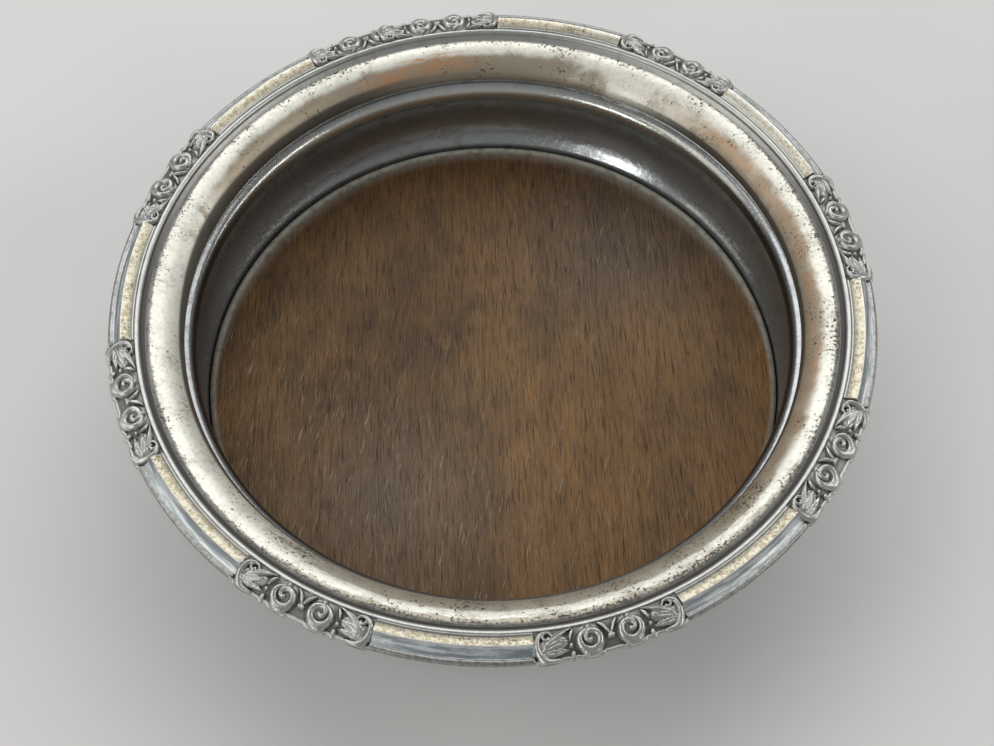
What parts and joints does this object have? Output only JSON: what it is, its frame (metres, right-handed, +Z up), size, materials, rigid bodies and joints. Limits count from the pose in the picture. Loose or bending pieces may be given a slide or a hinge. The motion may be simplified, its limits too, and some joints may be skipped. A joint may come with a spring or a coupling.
{
  "type": "wine bottle coaster",
  "caption": "Round plated wine bottle coaster with a flared rim, struck scroll and reed border, beaded wall and a turned wooden base on baize.",
  "frame": {"origin": "on the table, under the middle of the coaster", "axes": "+Z up out of the open mouth; +X to the right in the picture, +Y away from the viewer"},
  "size_m": [0.165, 0.165, 0.041],
  "materials": {
    "plated_wall": "worn silver plate on copper, tarnished and pitted",
    "plated_border": "struck silver-plated border, tarnished in the recesses",
    "base_wood": "dark turned mahogany, waxed and scratched",
    "pin_brass": "plain brass pins",
    "baize": "green wool baize"
  },
  "bodies": {
    "root": {"side_wall": "plated_wall", "wooden_base": "base_wood", "base_pins": "pin_brass", "baize_pad": "baize", "border_section_1": "plated_border", "border_section_2": "plated_border", "border_section_3": "plated_border", "border_section_4": "plated_border", "border_section_5": "plated_border", "border_section_6": "plated_border", "border_section_7": "plated_border", "border_section_8": "plated_border", "border_closing_section": "plated_border"}
  },
  "joints": []
}
